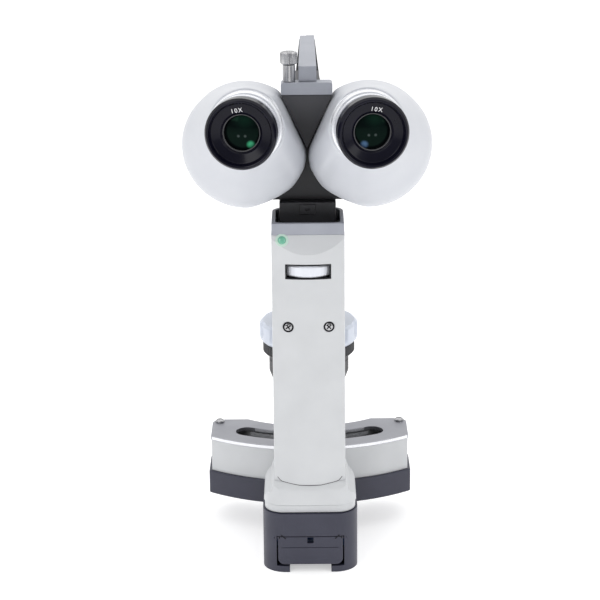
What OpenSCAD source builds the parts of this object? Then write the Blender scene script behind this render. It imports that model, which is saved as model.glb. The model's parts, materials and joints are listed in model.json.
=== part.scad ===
// Hand-held slit lamp: grip with a battery pack in its foot, an arc-shaped base that carries
// the swinging illumination column, and a binocular microscope head with two prism turrets.
// X to the operator's right, Y towards the patient, Z up.  Z = 0 is the standing face.

/* [Grip] */
// grip width
grip_w = 34; // [30:0.5:40]
// front of the grip, distance before the centre line
grip_front = 20; // [17:0.5:22]
// rear of the grip, distance behind the centre line
grip_rear = 17; // [15:0.5:17]
// height of the top edge of the grip
grip_top = 172; // [150:1:190]
// wall thickness of the grip shell
grip_wall = 2; // [1.5:0.1:3]
// height of the seam where the grip stands in its foot
seam_z = 44; // [40:0.5:50]

/* [Brightness wheel] */
// wheel radius
wheel_r = 14.2; // [12:0.1:14.4]
// wheel thickness
wheel_t = 5.4; // [4:0.1:6]
// height of the wheel's middle
wheel_z = 149.7; // [140:0.1:151]

/* [Battery pack] */
// width of the pack
batt_w = 45.6; // [40:0.1:50]
// front of the pack, before the centre line
batt_front = 22; // [20:0.5:25]
// rear of the pack, behind the centre line
batt_rear = 26; // [20:0.5:26]
// height of the pack
batt_h = 30; // [25:0.5:30]
// length of each cell
cell_l = 35; // [30:1:36]
// radius of each cell
cell_r = 9.1; // [8:0.1:9.2]

/* [Arc base] */
// distance from the grip centre line to the swing axis through the patient's eye
eye_y = 112; // [105:1:120]
// outer radius of the arc base
arc_ro = 84; // [80:0.5:86]
// inner radius of the arc base
arc_ri = 54; // [50:0.5:56]
// half width of the arc base
arc_hw = 50; // [45:0.5:55]
// rear limit of the arc base
arc_back = 68.5; // [66:0.5:72]
// radius of the path of the illumination column
path_r = 69; // [67:0.5:71]
// half width of the slot
slot_h = 5.9; // [5:0.1:7]
// half angle of the slot
slot_a = 27.5; // [20:0.5:30]

/* [Illumination column] */
// radius of the slit width knob
knob_r = 24.4; // [20:0.1:24.6]
// radius of the filter ring
ring_r = 22.9; // [20:0.1:24]
// radius of the lamp housing
lamp_r = 19.9; // [16:0.1:21]
// half opening of the slit at rest
slit_half = 0.4; // [0.1:0.1:2]

/* [Microscope] */
// height of the optical axes at the objectives
axis_z = 200; // [190:1:210]
// distance of each turret axis from the middle at Y = 0
turret_x = 14; // [12:0.5:16]
// outer radius of a turret cover
cover_r = 29; // [26:0.5:30]
// depth of the cover's cylindrical rim
rim_d = 14.3; // [10:0.1:16]
// radius of the eyepiece collar
collar_r = 17; // [15:0.1:18]
// outer radius of the eyecup
cup_r = 15.7; // [14:0.1:16]

/* [Headrest] */
// height of the underside of the headrest arm
arm_z = 236.6; // [234:0.1:240]
// far end of the headrest arm
arm_end = 86; // [70:1:90]

/* [Hidden] */
$fn = 64;
fit = 0.05;
gap = 0.3;
conv = atan(turret_x / eye_y);
cov_x = 14;
cov_z = 6.3;
eye_dx = 7;
eye_dz = 22.8;
cov_y = -13.8;
col_y = -43.5;
col_cy = eye_y - path_r;
boot_z0 = 14.8;
arc_z0 = 27;
plate_z0 = 43.5;
foot_rear = 18;
plate_z1 = 45.5;
plate_lip = 0.3;
latch_y = -19.9;
latch_z = 17.4;
latch_pin_r = 0.7;
mid_gap = 0.35;
cover_wall = 2;
band_z0 = 166.4;
bevel_z = 157.8;
bevel_y = -16.1;
white = [0.86, 0.87, 0.89];
slate = [0.24, 0.24, 0.29];
black = [0.10, 0.10, 0.12];
metal = [0.66, 0.68, 0.71];
steel = [0.80, 0.81, 0.83];
glass = [0.75, 0.88, 0.85, 0.5];

// ---------- shared outlines ----------

// rectangle with round corners, front corners rf and rear corners rb
module rrect(hw, y0, y1, rf, rb) {
  translate([-hw, y0 + rf]) square([2 * hw, y1 - y0 - rf - rb]);
  translate([-hw + rf, y0]) square([2 * (hw - rf), rf + 1]);
  translate([-hw + rb, y1 - rb - 1]) square([2 * (hw - rb), rb + 1]);
  for (s = [-1, 1]) {
    translate([s * (hw - rf), y0 + rf]) circle(r = rf);
    translate([s * (hw - rb), y1 - rb]) circle(r = rb);
  }
}

// plan of the grip, drawn in by d on every side; its front is a shallow arc
module grip_plan(d) {
  intersection() {
    rrect(grip_w / 2 - d, -grip_front - 1 + d, grip_rear - d, 6 - d, 8 - d);
    translate([0, 45 - grip_front]) circle(r = 45 - d, $fn = 128);
  }
}

// plan of the arc base, grown by d
module arc_plan(d) {
  intersection() {
    difference() {
      translate([0, eye_y]) circle(r = arc_ro + d, $fn = 180);
      translate([0, eye_y]) circle(r = arc_ri - d, $fn = 180);
    }
    rrect(arc_hw + d, 0, arc_back + d, 5, 5 + d);
  }
}

// ring piece about the swing axis, between angles -a and a
module ring_piece(r0, r1, a) {
  intersection() {
    difference() {
      translate([0, eye_y]) circle(r = r1, $fn = 180);
      translate([0, eye_y]) circle(r = r0, $fn = 180);
    }
    translate([0, eye_y])
      polygon([[0, 0], [-120 * tan(a), -120], [120 * tan(a), -120]]);
  }
}

module slot_plan(h, a) {
  ring_piece(path_r - h, path_r + h, a);
  for (s = [-1, 1])
    translate([s * path_r * sin(a), eye_y - path_r * cos(a)]) circle(r = h);
}

// everything in front of the sloping visor and of the flat head band
module visor_cut() {
  translate([-30, 0, 0]) rotate([90, 0, 90]) linear_extrude(60)
    polygon([[-32, bevel_z - 2.2 * 12], [bevel_y, bevel_z + 2.2 * (grip_front + bevel_y)],
      [bevel_y, 190], [-32, 190]]);
}

// frame of one turret: origin on its pivot axis, y towards the eye, x outwards
module on_side(s) {
  if (s > 0)
    translate([turret_x, 0, axis_z]) rotate([0, 0, conv]) children();
  else
    mirror([1, 0, 0]) translate([turret_x, 0, axis_z]) rotate([0, 0, conv]) children();
}

// cylinder about the local y axis, from y0 to y1
module ycyl(r, y0, y1, x = 0, z = 0) {
  translate([x, y1, z]) rotate([90, 0, 0]) cylinder(r = r, h = y1 - y0);
}

// body of revolution about the eyepiece axis; points are [radius, y]
module eye_rev() {
  translate([eye_dx, 0, eye_dz]) rotate([-90, 0, 0]) rotate_extrude($fn = 96) children();
}

// ---------- foot and arc base ----------

// plan of the foot: round corners, and a neck that runs back to the arc base
module foot_plan(hw, y0, r) {
  rrect(hw, y0, foot_rear, r, r);
  translate([-15, 0]) square([30, 40]);
}

module foot_outline() {
  intersection() {
    translate([0, 0, 34.2]) linear_extrude(11.3) foot_plan(22.2, -20.8, 9.5);
    translate([0, 60, 0]) rotate([90, 0, 0]) linear_extrude(100) {
      translate([-22.2, 34]) square([44.4, 1]);
      translate([-16.2, 34]) square([32.4, 7]);
      for (s = [-1, 1]) translate([s * 16.2, 35]) circle(r = 6);
      polygon([[-19.4, 39], [19.4, 39], [17.2, 45.5], [-17.2, 45.5]]);
    }
    translate([-30, 0, 0]) rotate([90, 0, 90]) linear_extrude(60) {
      translate([-20.8, 34]) square([70, 7]);
      translate([-15.8, 40]) square([65, 6]);
      translate([-15.8, 41]) circle(r = 5);
    }
  }
}

module foot_shell() {
  color(white) difference() {
    foot_outline();
    translate([0, 0, seam_z]) linear_extrude(20) grip_plan(0);
    translate([0, 0, 30]) linear_extrude(30) rrect(15, -15, 14, 4, 4);
    translate([0, eye_y, 20]) cylinder(r = arc_ro, h = 40, $fn = 180);
    translate([0, eye_y, plate_z0]) cylinder(r = arc_ro + plate_lip, h = 40, $fn = 180);
  }
}

module foot_band() {
  color(white) difference() {
    translate([0, 0, 30.2]) linear_extrude(4) foot_plan(21.8, -20.4, 9.1);
    translate([0, 0, 30]) linear_extrude(6) rrect(15, -15, 14, 4, 4);
    translate([0, eye_y, 20]) cylinder(r = arc_ro, h = 40, $fn = 180);
  }
}

module arc_housing() {
  color(white) difference() {
    translate([0, 0, arc_z0]) linear_extrude(plate_z0 - arc_z0) arc_plan(0);
    translate([0, 0, 33]) linear_extrude(20) intersection() {
      ring_piece(60.5, 78, 60);
      translate([-44.5, 0]) square([89, 65.5]);
    }
    for (s = [-1, 1]) translate([s * 46.5, 65, 35]) cylinder(r = 1.2, h = 20);
  }
}

module arc_boot() {
  color(slate) difference() {
    translate([0, 0, boot_z0]) linear_extrude(arc_z0 - boot_z0) arc_plan(1.5);
    translate([0, 0, boot_z0 + 2.5]) linear_extrude(20) arc_plan(-2);
  }
}

module arc_plate() {
  color(metal) difference() {
    translate([0, 0, plate_z0]) linear_extrude(plate_z1 - plate_z0) arc_plan(plate_lip);
    translate([0, 0, 40]) linear_extrude(10) slot_plan(slot_h, slot_a);
    for (s = [-1, 1]) translate([s * 46.5, 65, 35]) cylinder(r = 1.2, h = 20);
  }
}

module arc_rail() {
  color(steel) translate([0, 0, 33]) linear_extrude(9.8) ring_piece(60.5, 62.8, 29);
}

module plate_screws() {
  color(steel) for (s = [-1, 1]) translate([s * 46.5, 65, 0]) difference() {
    union() {
      translate([0, 0, 36]) cylinder(r = 1.2, h = plate_z1 - 36 + 0.5);
      translate([0, 0, plate_z1]) cylinder(r = 2.4, h = 0.7);
      intersection() {
        translate([0, 0, plate_z1 - 1.4]) sphere(r = 3.2);
        translate([0, 0, plate_z1 + 0.7]) cylinder(r = 2.4, h = 3);
      }
    }
    translate([-1.6, -0.25, plate_z1 + 1.2]) cube([3.2, 0.5, 2]);
    translate([-0.25, -1.6, plate_z1 + 1.2]) cube([0.5, 3.2, 2]);
  }
}

// ---------- grip ----------

module handle_shell() {
  color(white) {
    difference() {
      translate([0, 0, seam_z]) linear_extrude(band_z0 - seam_z) difference() {
        grip_plan(0);
        grip_plan(grip_wall);
        translate([-15, -30]) square([30, 20]);
      }
      visor_cut();
    }
    for (s = [-1, 1]) difference() {
      ycyl(3.2, -16.6, grip_rear - grip_wall, s * 9.5, 123);
      ycyl(1.2, -20, -8, s * 9.5, 123);
    }
  }
}

module front_panel() {
  color(white) difference() {
    union() {
      translate([0, 0, seam_z]) linear_extrude(band_z0 - seam_z) intersection() {
        difference() {
          grip_plan(0);
          grip_plan(grip_wall);
        }
        translate([-15, -30]) square([30, 20]);
      }
      translate([0, 0, 155]) linear_extrude(band_z0 - 155) intersection() {
        grip_plan(0);
        translate([-15, -30]) square([30, 30 - 14.1]);
      }
    }
    visor_cut();
    translate([-10.65, -25, wheel_z - 3.6]) cube([21.3, 20, 7.2]);
    for (s = [-1, 1]) {
      ycyl(1.2, -25, -10, s * 9.5, 123);
      ycyl(2.6, -25, -17.9, s * 9.5, 123);
    }
    translate([-12, -17.05, 164.3]) rotate([65.6, 0, 0]) cylinder(r = 1.9, h = 6, center = true);
  }
}

module head_band() {
  color(metal) translate([0, 0, band_z0]) linear_extrude(grip_top - band_z0) difference() {
    intersection() {
      grip_plan(0.2);
      translate([-20, bevel_y]) square([40, 50]);
    }
    rrect(15, -14.1, 15, 2, 6);
  }
}

module panel_screws() {
  color(steel) for (s = [-1, 1]) difference() {
    union() {
      ycyl(2.35, -18.9, -17.9, s * 9.5, 123);
      ycyl(1.2, -17.9, -8.5, s * 9.5, 123);
    }
    translate([s * 9.5 - 1.5, -19.5, 122.7]) cube([3, 1.2, 0.6]);
    translate([s * 9.5 - 0.3, -19.5, 121.5]) cube([0.6, 1.2, 3]);
  }
}

module window_bezel() {
  color(black) intersection() {
    difference() {
      translate([-10.65, -20, wheel_z - 3.6]) cube([21.3, 2.8, 7.2]);
      translate([-9.9, -25, wheel_z - 3.05]) cube([19.8, 20, 6.1]);
    }
    linear_extrude(200) grip_plan(0.25);
  }
}

module pilot_led() {
  color([0.45, 0.75, 0.6]) translate([-12, -17.05, 164.3]) rotate([65.6, 0, 0]) {
    translate([0, 0, -2.9]) cylinder(r = 1.9, h = 3.2);
    translate([0, 0, 0.3]) intersection() {
      translate([0, 0, -2.3]) sphere(r = 3);
      cylinder(r = 1.9, h = 2);
    }
  }
}

module control_board() {
  color([0.1, 0.35, 0.2]) {
    translate([-14.2, -15.5, 137.4]) cube([28.4, 24.5, 1.6]);
    translate([-11, 2, 135.2]) cube([7, 6, 2.2]);
    translate([4, 1, 134.4]) cube([8, 8, 3]);
  }
}

module dimmer_pot() {
  color(metal) {
    translate([0, -6.2, 139]) cylinder(r = 5.5, h = 7);
    translate([0, -6.2, 146]) cylinder(r = 3, h = 7.6);
  }
}

module brightness_wheel() {
  color(steel) translate([0, -6.2, wheel_z - wheel_t / 2]) difference() {
    cylinder(r = wheel_r, h = wheel_t);
    translate([0, 0, -1]) cylinder(r = 3 + fit, h = wheel_t + 2);
    for (k = [0 : 5]) rotate([0, 0, 60 * k]) translate([8, 0, -1]) cylinder(r = 2.2, h = wheel_t + 2);
  }
}

// ---------- battery pack ----------

module batt_plan(d) {
  rrect(batt_w / 2 - d, -batt_front + d, batt_rear - d, 11 - d, 8 - d);
}

// the two pivot pins of the latch, of radius r and reaching out to x
module latch_pins(r, x) {
  for (s = [-1, 1]) translate([s * (x + 15.4) / 2, latch_y, latch_z]) rotate([0, 90, 0])
    cylinder(r = r, h = x - 15.4, center = true);
}

module battery_shell() {
  color(slate) difference() {
    union() {
      difference() {
        linear_extrude(batt_h) batt_plan(0);
        translate([0, 0, 2.2]) linear_extrude(batt_h) batt_plan(2.2);
      }
      translate([-11.5, -17.4, 2]) cube([23, 10.6, 3.7]);
    }
    translate([-16.3, -30, 3.1]) cube([32.6, 12, 15.5]);
    translate([-10, -30, -1]) cube([20, 21.8, 5.4]);
    latch_pins(latch_pin_r + fit, 17.4);
  }
}

module latch_tab() {
  color(slate) latch_pins(latch_pin_r, 17.2);
  color(slate) difference() {
    intersection() {
      translate([0, 0, 4.1]) linear_extrude(14.1) difference() {
        batt_plan(0);
        batt_plan(2);
      }
      union() {
        translate([-15.6, -30, 7.1]) cube([31.2, 12, 20]);
        translate([-12.6, -30, 4.1]) cube([25.2, 12, 20]);
        for (s = [-1, 1]) ycyl(3, -30, -18, s * 12.6, 7.1);
      }
    }
    translate([-1.5, -25, 15]) cube([3, 10, 3]);
    translate([-14.6, -batt_front - 1, 12.6]) cube([29.2, 1.3, 0.4]);
  }
}

module battery_deck() {
  color(black) {
    translate([0, 0, 25]) linear_extrude(2.5) batt_plan(2.2);
    translate([0, 0, 27.5]) linear_extrude(10.5) rrect(12, -8, 8, 2, 2);
    for (s = [-1, 1]) translate([s * 6, 0, 38]) cylinder(r = 1.6, h = 2);
  }
}

module battery_cells() {
  color([0.2, 0.35, 0.6]) for (y = [-4.7, 13.8]) translate([0, y, 15.3]) rotate([0, 90, 0]) {
    translate([0, 0, -cell_l / 2]) cylinder(r = cell_r, h = cell_l);
    translate([0, 0, cell_l / 2]) cylinder(r = 3, h = 1);
  }
}

// ---------- microscope head ----------

module neck_block() {
  color(black) difference() {
    union() {
      translate([-13.2, -2, 156]) cube([26.4, 14, 22.5]);
      translate([-15, -4, 156]) cube([30, 13, 4]);
      translate([-3.6, -2.6, 172.8]) cube([7.2, 1, 4.8]);
    }
    translate([-1.1, -3, 174.6]) cube([2.2, 1.2, 0.9]);
    translate([-8, 2, 150]) cube([16, 6, 24]);
  }
}

module wedge_plan() {
  polygon([[-11.7, 231], [-1.2, 208.2], [-0.4, 206.6], [0.4, 206.6], [1.2, 208.2], [11.7, 231]]);
}

module scope_body() {
  color(black) difference() {
    union() {
      translate([-25.5, 4, 178.5]) cube([51, 20, 35.5]);
      translate([0, 22, 0]) rotate([90, 0, 0]) linear_extrude(33) wedge_plan();
      translate([-5.8, -3.6, 230]) cube([11.6, 25.6, 6.4]);
      for (s = [-1, 1]) on_side(s) {
        ycyl(9, -8, 8);
        ycyl(9.2, 20, 25.5);
      }
    }
    translate([-1.8, -5, 234.2]) cube([3.6, 40, 5]);
    for (s = [-1, 1]) on_side(s) ycyl(7.4, -20, 40);
  }
}

module objective_cells() {
  color(black) for (s = [-1, 1]) on_side(s) difference() {
    ycyl(9.2, 25.5, 33);
    ycyl(7.4, 20, 28);
    ycyl(8.2, 28, 40);
  }
}

module objective_lenses() {
  color(glass) for (s = [-1, 1]) on_side(s) rotate([-90, 0, 0]) rotate_extrude()
    intersection() {
      translate([0, 28]) square([8.2, 5]);
      translate([0, 4]) circle(r = 28.4, $fn = 128);
      translate([0, 56]) circle(r = 28, $fn = 128);
    }
}

module top_bar() {
  color(metal) difference() {
    translate([0, -4, 0]) rotate([90, 0, 0]) linear_extrude(8) {
      translate([-11.7, 231]) square([23.4, 4.3]);
      translate([-10.5, 235]) square([21, 1.5]);
      for (s = [-1, 1]) translate([s * 10.5, 235.3]) circle(r = 1.2);
    }
    translate([-8, -8, 220]) cylinder(r = 1.5 + fit, h = 30);
  }
}

// ---------- one turret, drawn for the right-hand side ----------

// skew cone from the rim to the collar, drawn in by d
module cover_solid(d) {
  hull() {
    translate([cov_x, cov_y, cov_z]) rotate([-90, 0, 0])
      cylinder(r = cover_r - d, h = rim_d + (d > 0 ? 2 : 0), $fn = 120);
    translate([eye_dx, col_y - (d > 0 ? 1 : 0), eye_dz]) rotate([-90, 0, 0])
      cylinder(r = collar_r - d, h = 1, $fn = 120);
  }
}

// all that lies beyond the cover's flats: the one that faces the wedge, the one that keeps
// clear of the middle and the small lower one, each moved inwards by d
module cover_flats(d) {
  rotate([0, 0, -conv]) {
    translate([1.85 - turret_x, -70, 208.2 - axis_z]) rotate([0, 24.7, 0])
      translate([d - 40, 0, -30]) cube([40, 90, 90]);
    translate([mid_gap - turret_x + d - 40, -70, -80]) cube([40, 90, 160]);
  }
  translate([cov_x, -70, cov_z]) rotate([0, 26, 0])
    translate([-30, 0, d - 60]) cube([60, 90, 32.6]);
}

module cover() {
  color(white) difference() {
    cover_solid(0);
    cover_flats(0);
    difference() {
      cover_solid(cover_wall);
      cover_flats(cover_wall);
    }
  }
}

module prism_frame() {
  color(black) difference() {
    union() {
      difference() {
        ycyl(cover_r - cover_wall - fit, -3.5, 0.4, cov_x, cov_z);
        cover_flats(cover_wall + fit);
      }
      rotate([0, atan(eye_dx / eye_dz), 0]) for (s = [-1, 1])
        translate([s * 6.7 - 0.7, 0, 0]) rotate([90, 0, 90]) linear_extrude(1.4)
          polygon([[-3.5, -6], [-9, -6], [-21, 6], [-21, 30], [-3.5, 18]]);
    }
    ycyl(9 + fit, -10, 5);
  }
}

module prism() {
  color(glass) rotate([0, atan(eye_dx / eye_dz), 0]) translate([-6, 0, 0])
    rotate([90, 0, 90]) linear_extrude(12)
      polygon([[-9, -6], [-21, 6], [-21, 29.85], [-9, 17.85]]);
}

module eye_tube() {
  color(steel) eye_rev()
    polygon([[12.5, -41], [13.6, -41], [13.6, -43.5], [16.2, -43.5], [16.2, -47.7], [15.7, -48.2],
      [13.8, -48.2], [13.8, -51], [12.5, -51]]);
}

module helicoid() {
  color(black) eye_rev()
    polygon([[11, -34], [12.5 - fit, -34], [12.5 - fit, -50.6], [11, -50.6]]);
}

module ocular_barrel() {
  color(black) eye_rev()
    polygon([[9.2, -34], [11 - fit, -34], [11 - fit, -58], [9.2, -58]]);
}

module diopter_ring() {
  color([0.3, 0.3, 0.33]) eye_rev()
    polygon([[14.2, -50.5], [15.1, -50.5], [15.4, -50.8], [15.4, -56.3], [11 - fit, -56.3],
      [11 - fit, -53.4], [14.2, -53.4]]);
}

module eyecup() {
  color(black) eye_rev()
    polygon([[8.7, -58], [11 - fit, -58], [11 - fit, -56.3], [15.4, -56.3], [cup_r, -56.6],
      [cup_r, -62.1], [cup_r - 0.3, -62.9], [cup_r - 0.9, -63.3], [cup_r - 1.6, -63.2],
      [13.6, -62.6], [13.2, -61.2], [8.7, -59.4]]);
}

module ocular_lenses() {
  color(glass) eye_rev() {
    intersection() {
      translate([0, -57.9]) square([9.2, 6]);
      translate([0, -31.9]) circle(r = 26, $fn = 128);
      translate([0, -78]) circle(r = 26, $fn = 128);
    }
    intersection() {
      translate([0, -38]) square([9.2, 4]);
      translate([0, -72]) circle(r = 37.6, $fn = 128);
    }
  }
}

// ---------- illumination column ----------

module carriage() {
  color(steel) {
    translate([0, 0, 36]) linear_extrude(7) ring_piece(63.6, 76.8, 7.5);
    translate([0, col_cy, 43]) cylinder(r = 4.5, h = 4);
    translate([0, col_cy, 46]) cylinder(r = 9, h = 3);
  }
}

module carriage_pads() {
  color(white) for (r = [65.8, 74.6]) for (a = [-5.5, 5.5])
    translate([r * sin(a), eye_y - r * cos(a), 33.4]) cylinder(r = 2, h = 2.6);
}

module lamp_housing() {
  color(black) translate([0, col_cy, 0]) rotate_extrude($fn = 96)
    polygon([[0, 49], [12, 49], [12, 66], [13, 70], [16, 75], [18.6, 78.5], [lamp_r, 82],
      [lamp_r, 91.3], [8, 91.3], [8, 88.5], [17.4, 88.5], [17.4, 83], [14, 77], [9.6, 71],
      [9.6, 52], [0, 52]]);
}

module lamp_module() {
  color([0.85, 0.8, 0.4]) translate([0, col_cy, 52]) {
    cylinder(r = 9.6, h = 6);
    translate([0, 0, 6]) cylinder(r = 5, h = 1.4);
    translate([0, 0, 7.4]) cylinder(r = 1.6, h = 1.2);
  }
}

module condenser() {
  color(glass) translate([0, col_cy, 88.5]) {
    cylinder(r = 8, h = 2);
    intersection() {
      translate([0, 0, 9]) sphere(r = 12.04);
      translate([0, 0, -4]) cylinder(r = 8, h = 4);
    }
  }
}

module tower() {
  color(black) translate([0, col_cy, 0]) difference() {
    rotate_extrude($fn = 96)
      polygon([[8, 91.3], [14, 91.3], [14, 108.4], [15.8, 108.4], [15.8, 118.5], [14.8, 120],
        [10, 124], [9, 126], [9, 176], [8, 178], [8, 182], [6, 182], [6, 127], [8, 120]]);
    translate([-14.2, -4.3, 112]) cube([28.4, 8.6, 3]);
    translate([0, 0, 94.2]) difference() {
      cylinder(r = 20, h = 1.8);
      translate([0, 0, -1]) cylinder(r = 11, h = 4);
    }
  }
}

module projection_lens() {
  color(glass) translate([0, col_cy, 176]) intersection() {
    cylinder(r = 6, h = 5);
    translate([0, 0, -16.5]) sphere(r = 21);
  }
}

module mirror_head() {
  color(black) translate([0, col_cy, 0]) {
    difference() {
      translate([0, 0, 182]) cylinder(r = 8, h = 4);
      translate([0, 0, 181]) cylinder(r = 3.4, h = 6);
    }
    for (s = [-1, 1]) translate([s * 4.1 - 0.6, -6, 186]) cube([1.2, 12, 22]);
    translate([-4.7, -6, 208]) cube([9.4, 12, 1.6]);
  }
}

module mirror_plate() {
  color([0.9, 0.92, 0.95]) translate([0, col_cy, axis_z]) rotate([45, 0, 0])
    translate([-3.5, -0.2, -7]) translate([0, -1.6, 0]) cube([7, 1.8, 14]);
}

module filter_ring() {
  color(black) translate([0, col_cy, 91.7]) difference() {
    cylinder(r = ring_r, h = 5.5, $fn = 96);
    translate([0, 0, -1]) cylinder(r = 14 + fit, h = 8, $fn = 96);
    for (k = [0 : 23]) rotate([0, 0, 15 * k + 7.5]) translate([ring_r + 0.6, 0, -1])
      cylinder(r = 1.2, h = 8, $fn = 24);
  }
}

module filter_disc() {
  color(glass) translate([0, col_cy, 94.4]) difference() {
    cylinder(r = 14 + fit, h = 1.4);
    translate([0, 0, -1]) cylinder(r = 11 + gap, h = 4);
  }
}

module slit_knob() {
  color(white) translate([0, col_cy, 97.6]) difference() {
    union() {
      cylinder(r = knob_r - 1.4, h = 10.4, $fn = 96);
      translate([0, 0, 1.6]) cylinder(r = knob_r, h = 7.6, $fn = 96);
    }
    translate([0, 0, -1]) cylinder(r = 14 + fit, h = 13, $fn = 96);
    for (k = [0 : 11]) rotate([0, 0, 30 * k + 15]) translate([knob_r + 1.6, 0, 3])
      cylinder(r = 3.4, h = 13, $fn = 32);
  }
}

module slit_jaw(s) {
  color(metal) translate([0, col_cy, 0]) mirror([s > 0 ? 0 : 1, 0, 0])
    translate([slit_half, -4, 112.3]) cube([7.6, 8, 2.4]);
}

// ---------- headrest ----------

module rest_arm() {
  color(metal) {
    difference() {
      translate([0, 0, arm_z]) linear_extrude(6.9)
        polygon([[-3.7, -8.7], [4.5, -8.7], [4.0, arm_end], [-3.2, arm_end]]);
      translate([-10, arm_end, arm_z + 6.9]) rotate([45, 0, 0]) cube([20, 1.6, 1.6], center = true);
    }
    translate([-1.5, 7, 234.5]) cube([3, 24, 2.6]);
    translate([-2.6, arm_end - 2, 214]) cube([6, 2, 24]);
  }
}

module rest_pad() {
  color(black) translate([0.4, arm_end + 5, 0]) rotate([90, 0, 0]) linear_extrude(5)
    polygon(concat([[-3.8, 241.5], [3.8, 241.5], [6.1, 222]],
      [for (k = [0 : 24]) [7 * cos(12 - 8.5 * k), 216.5 + 7 * sin(12 - 8.5 * k)]],
      [[-6.1, 222]]));
}

module thumb_screw() {
  color(steel) translate([-8, -8, 0]) {
    translate([0, 0, 232]) cylinder(r = 1.5, h = 5);
    translate([0, 0, 236.6]) cylinder(r = 2.85, h = 8.2);
    difference() {
      translate([0, 0, 244.6]) cylinder(r = 3.9, h = 5.5);
      for (k = [0 : 17]) rotate([0, 0, 20 * k]) translate([4.05, 0, 245.2])
        cylinder(r = 0.35, h = 8, $fn = 16);
      translate([0, 0, 249.5]) cylinder(r = 2.2, h = 2);
    }
  }
}

foot_shell();
foot_band();
arc_housing();
arc_boot();
arc_plate();
arc_rail();
plate_screws();
handle_shell();
front_panel();
panel_screws();
head_band();
window_bezel();
pilot_led();
control_board();
dimmer_pot();
neck_block();
scope_body();
top_bar();
objective_cells();
objective_lenses();
on_side(-1) cover();  // cover_left
on_side(-1) prism_frame();  // prism_frame_left
on_side(-1) prism();  // prism_left
on_side(-1) eye_tube();  // eye_tube_left
on_side(-1) helicoid();  // helicoid_left
on_side(-1) ocular_barrel();  // ocular_barrel_left
on_side(-1) diopter_ring();  // diopter_ring_left
on_side(-1) eyecup();  // eyecup_left
on_side(-1) ocular_lenses();  // ocular_lenses_left
on_side(1) cover();  // cover_right
on_side(1) prism_frame();  // prism_frame_right
on_side(1) prism();  // prism_right
on_side(1) eye_tube();  // eye_tube_right
on_side(1) helicoid();  // helicoid_right
on_side(1) ocular_barrel();  // ocular_barrel_right
on_side(1) diopter_ring();  // diopter_ring_right
on_side(1) eyecup();  // eyecup_right
on_side(1) ocular_lenses();  // ocular_lenses_right
carriage();
carriage_pads();
lamp_housing();
lamp_module();
condenser();
tower();
projection_lens();
mirror_head();
mirror_plate();  // mirror
filter_ring();
filter_disc();
slit_knob();
slit_jaw(-1);  // slit_jaw_left
slit_jaw(1);  // slit_jaw_right
brightness_wheel();
battery_shell();
battery_deck();
battery_cells();
latch_tab();
rest_arm();
rest_pad();
thumb_screw();
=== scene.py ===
import json
import math

import bmesh
import bpy
from mathutils import Matrix, Vector


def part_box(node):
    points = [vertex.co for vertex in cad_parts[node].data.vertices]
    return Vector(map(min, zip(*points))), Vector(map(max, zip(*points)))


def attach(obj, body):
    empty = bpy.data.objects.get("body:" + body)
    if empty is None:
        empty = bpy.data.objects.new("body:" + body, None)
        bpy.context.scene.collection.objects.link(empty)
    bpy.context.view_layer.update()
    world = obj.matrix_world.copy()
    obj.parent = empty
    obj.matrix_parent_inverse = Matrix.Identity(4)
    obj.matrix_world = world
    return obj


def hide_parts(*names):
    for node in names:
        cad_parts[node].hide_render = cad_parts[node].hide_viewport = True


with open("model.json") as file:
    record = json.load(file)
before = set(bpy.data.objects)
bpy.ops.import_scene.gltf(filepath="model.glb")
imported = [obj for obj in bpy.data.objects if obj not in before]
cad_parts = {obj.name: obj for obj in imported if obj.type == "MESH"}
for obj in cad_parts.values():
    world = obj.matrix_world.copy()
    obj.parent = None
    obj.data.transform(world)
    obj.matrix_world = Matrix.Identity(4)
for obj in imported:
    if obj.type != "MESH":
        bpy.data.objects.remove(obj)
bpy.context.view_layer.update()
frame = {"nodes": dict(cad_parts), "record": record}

MM = 0.001

# ---------- camera and light ----------

VIEW_CENTRE = Vector((0.0, 0.010, 0.1275))
VIEW_DISTANCE = 0.900
VIEW_ELEVATION = math.radians(16.5)
VIEW_ROLL = math.radians(-0.49)
LENS_MM = 112.5
SENSOR_MM = 36.0
SIDE_SHIFT = -0.0140
LIGHT_AIM = Vector((0, 0.01, 0.13))
FRONT_SKY = 0.34
BACK_SKY = 1.12


def make_camera():
    """A long lens in front of the eyepieces, looking down on the instrument."""
    data = bpy.data.cameras.new("camera")
    cam = bpy.data.objects.new("camera", data)
    bpy.context.scene.collection.objects.link(cam)
    data.lens = LENS_MM
    data.sensor_width = SENSOR_MM
    data.shift_x = SIDE_SHIFT
    data.clip_start, data.clip_end = 0.05, 50.0
    forward = Vector((0, math.cos(VIEW_ELEVATION), -math.sin(VIEW_ELEVATION)))
    cam.location = VIEW_CENTRE - forward * VIEW_DISTANCE
    tilt = Matrix.Rotation(math.pi / 2 - VIEW_ELEVATION, 4, "X")
    roll = Matrix.Rotation(VIEW_ROLL, 4, "Z")
    cam.rotation_euler = (tilt @ roll).to_euler()
    bpy.context.scene.camera = cam


def area_light(name, place, size, power):
    data = bpy.data.lights.new(name, "AREA")
    data.shape, data.size, data.size_y = "RECTANGLE", size[0], size[1]
    data.energy = power
    lamp = bpy.data.objects.new(name, data)
    bpy.context.scene.collection.objects.link(lamp)
    lamp.location = place
    lamp.rotation_euler = (LIGHT_AIM - Vector(place)).to_track_quat("-Z", "Y").to_euler()


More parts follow.
